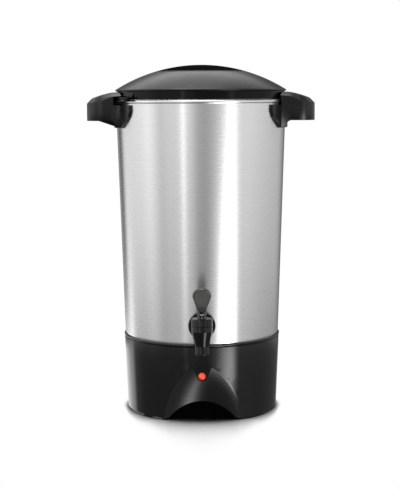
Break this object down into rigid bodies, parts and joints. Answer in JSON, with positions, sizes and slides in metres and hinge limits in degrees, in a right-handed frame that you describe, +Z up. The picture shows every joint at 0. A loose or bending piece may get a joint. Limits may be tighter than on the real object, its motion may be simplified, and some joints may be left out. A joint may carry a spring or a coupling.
{
  "type": "coffee urn",
  "caption": "Tall tapered percolating coffee urn with a domed twist-lock lid, side handles, a lever tap and a moulded base with a cup recess.",
  "frame": {"origin": "on the tank's axis at table level, in the middle of the feet", "axes": "+Z up along the tank's axis, -Y towards the tap, +X towards the handle on the right of someone who faces the tap"},
  "size_m": [0.2796, 0.255, 0.4265],
  "materials": {
    "steel_tank": "brushed round the tank",
    "steel_parts": "plain",
    "aluminium": "satin",
    "satin_black": "satin moulded",
    "gloss_black": "gloss moulded",
    "base_black": "half gloss moulded",
    "silicone": "soft",
    "rubber": "soft",
    "red_lens": "clear red",
    "lamp_white": "moulded",
    "brass": "bare",
    "lead_red": "sleeved"
  },
  "bodies": {
    "urn": {"tank": "steel_tank", "heating_well": "steel_parts", "well_gasket": "silicone", "well_ring": "aluminium", "main_heater": "aluminium", "keep_warm_heater": "aluminium", "heater_bracket": "steel_parts", "heater_nut": "steel_parts", "thermostat": "aluminium", "thermal_fuse": "aluminium", "fuse_clip": "steel_parts", "heat_shield": "aluminium", "tank_studs": "steel_parts", "tank_nuts": "steel_parts", "base_skirt": "base_black", "bottom_plate": "steel_parts", "bottom_screws": "steel_parts", "feet": "rubber", "lamp_lens": "red_lens", "lamp_bezel": "gloss_black", "lamp_body": "lamp_white", "inlet_housing": "base_black", "inlet_pins": "brass", "inlet_screws": "steel_parts", "wiring": "lead_red", "tap_body": "gloss_black", "tap_flange": "gloss_black", "tap_gasket_outer": "rubber", "tap_gasket_inner": "silicone", "tap_nut": "gloss_black", "tap_bonnet": "gloss_black", "left_handle": "satin_black", "right_handle": "satin_black", "left_handle_plate": "satin_black", "right_handle_plate": "satin_black", "handle_screws": "steel_parts", "handle_washers": "rubber"},
    "inner_lid": {"lid_liner": "steel_parts"},
    "lid": {"lid_dome": "satin_black", "lid_grip": "satin_black", "lid_band": "gloss_black", "lid_rivet": "steel_parts", "lid_screws": "steel_parts"},
    "percolator": {"pump_tube": "aluminium", "pump_foot": "aluminium"},
    "pump_valve": {"pump_washer": "steel_parts"},
    "coffee_basket": {"basket": "aluminium"},
    "spreader": {"basket_lid": "aluminium"},
    "stem": {"tap_stem": "steel_parts", "seat_cup": "silicone", "tap_spring": "steel_parts", "lever_pin": "steel_parts"},
    "lever": {"tap_lever": "satin_black"}
  },
  "joints": [
    {"name": "lid_lift", "type": "slide", "parent": "urn", "child": "inner_lid", "axis": [0, 0, 1], "range_m": [0, 0.55]},
    {"name": "lid_turn", "type": "hinge", "parent": "inner_lid", "child": "lid", "pos_m": [0, 0, 0.38], "axis": [0, 0, 1], "range_deg": [-20, 0]},
    {"name": "percolator_lift", "type": "slide", "parent": "urn", "child": "percolator", "axis": [0, 0, 1], "range_m": [0, 0.331]},
    {"name": "basket_lift", "type": "slide", "parent": "percolator", "child": "coffee_basket", "axis": [0, 0, 1], "range_m": [0, 0.1]},
    {"name": "spreader_lift", "type": "slide", "parent": "coffee_basket", "child": "spreader", "axis": [0, 0, 1], "range_m": [0, 0.045]},
    {"name": "washer_lift", "type": "slide", "parent": "percolator", "child": "pump_valve", "axis": [0, 0, 1], "range_m": [0, 0.002]},
    {"name": "stem_lift", "type": "slide", "parent": "urn", "child": "stem", "axis": [0, 0, 1], "range_m": [0, 0.0043], "deforming": ["tap_spring"]},
    {"name": "lever_press", "type": "hinge", "parent": "stem", "child": "lever", "pos_m": [0, -0.12406, 0.1356], "axis": [1, 0, 0], "range_deg": [0, 25], "stiffness_Nm_per_rad": 0.055, "springref_deg": -29.79}
  ],
  "couplings": [
    {"joint": "percolator_lift", "follows": "lid_lift", "ratio": 0.6},
    {"joint": "basket_lift", "follows": "lid_lift", "ratio": 0.18},
    {"joint": "spreader_lift", "follows": "lid_lift", "ratio": 0.08},
    {"joint": "stem_lift", "follows": "lever_press", "m_per_rad": 0.0096}
  ]
}
